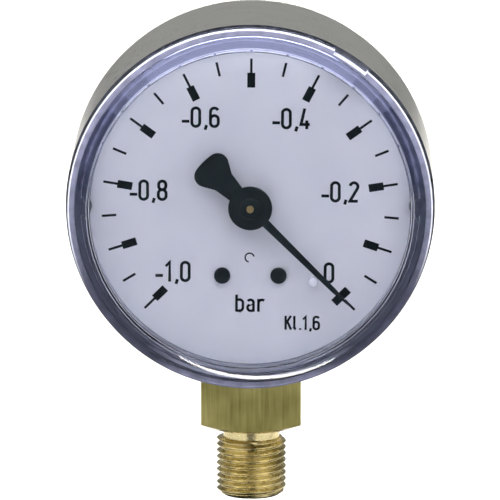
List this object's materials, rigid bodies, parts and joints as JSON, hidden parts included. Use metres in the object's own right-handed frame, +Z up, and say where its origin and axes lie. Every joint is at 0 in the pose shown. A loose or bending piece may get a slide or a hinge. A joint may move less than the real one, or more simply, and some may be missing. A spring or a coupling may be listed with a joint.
{
  "type": "pressure gauge",
  "caption": "Small round vacuum gauge with a steel case, clear window, black pointer and a threaded brass stem below; the pointer is driven by a curved tube and a gear movement",
  "frame": {"origin": "the middle of the sealing face at the lower end of the stem, on the thread's axis", "axes": "+Z is up along the stem, the dial faces -Y, and +X is to the right as the dial is read"},
  "size_m": [0.051, 0.0279, 0.0691],
  "materials": {
    "case_steel": "satin drawn sheet",
    "window_clear": "clear moulded plastic",
    "dial_white": "matt white",
    "black": "matt black",
    "brass": "stamped and turned",
    "stem_brass": "drawn bar, turned thread",
    "bronze": "drawn bronze",
    "screw_steel": "turned"
  },
  "bodies": {
    "gauge": {"case": "case_steel", "window": "window_clear", "dial": "dial_white", "dial_screws": "black", "dial_posts": "brass", "stop_pin": "dial_white", "hairspring": "bronze", "hairspring_stud": "brass", "front_plate": "brass", "rear_plate": "brass", "plate_pillars": "brass", "plate_screws": "screw_steel", "movement_screws": "screw_steel", "bourdon_tube": "bronze", "stem": "stem_brass", "case_screws": "screw_steel"},
    "pointer_set": {"pointer": "black", "pointer_bush": "brass", "pinion": "brass", "hairspring_collet": "brass"},
    "sector": {"sector_gear": "brass", "sector_arbor": "screw_steel", "sector_pin": "screw_steel"},
    "link_rod": {"link": "brass"},
    "tip": {"tube_tip": "brass", "tip_pin": "screw_steel"}
  },
  "joints": [
    {"name": "pointer_sweep", "type": "hinge", "parent": "gauge", "child": "pointer_set", "pos_m": [0, 0, 0.0436], "axis": [0, -1, 0], "range_deg": [0, 270], "stiffness_Nm_per_rad": 0.0002, "springref_deg": -28.65, "deforming": ["hairspring"]},
    {"name": "sector_swing", "type": "hinge", "parent": "gauge", "child": "sector", "pos_m": [0.00781, 0, 0.03704], "axis": [0, -1, 0], "range_deg": [-36.01, 0]},
    {"name": "link_swing", "type": "hinge", "parent": "sector", "child": "link_rod", "pos_m": [0.0122, 0, 0.03806], "axis": [0, -1, 0], "range_deg": [0, 43.17]},
    {"name": "tip_curl", "type": "hinge", "parent": "gauge", "child": "tip", "pos_m": [-0.0042, 0, 0.0494], "axis": [0, -1, 0], "range_deg": [-11.04, 0], "deforming": ["bourdon_tube"]}
  ],
  "couplings": [
    {"joint": "sector_swing", "follows": "pointer_sweep", "ratio": -0.13333},
    {"joint": "link_swing", "follows": "pointer_sweep", "ratio": 0.15984},
    {"joint": "tip_curl", "follows": "pointer_sweep", "ratio": -0.04086}
  ]
}
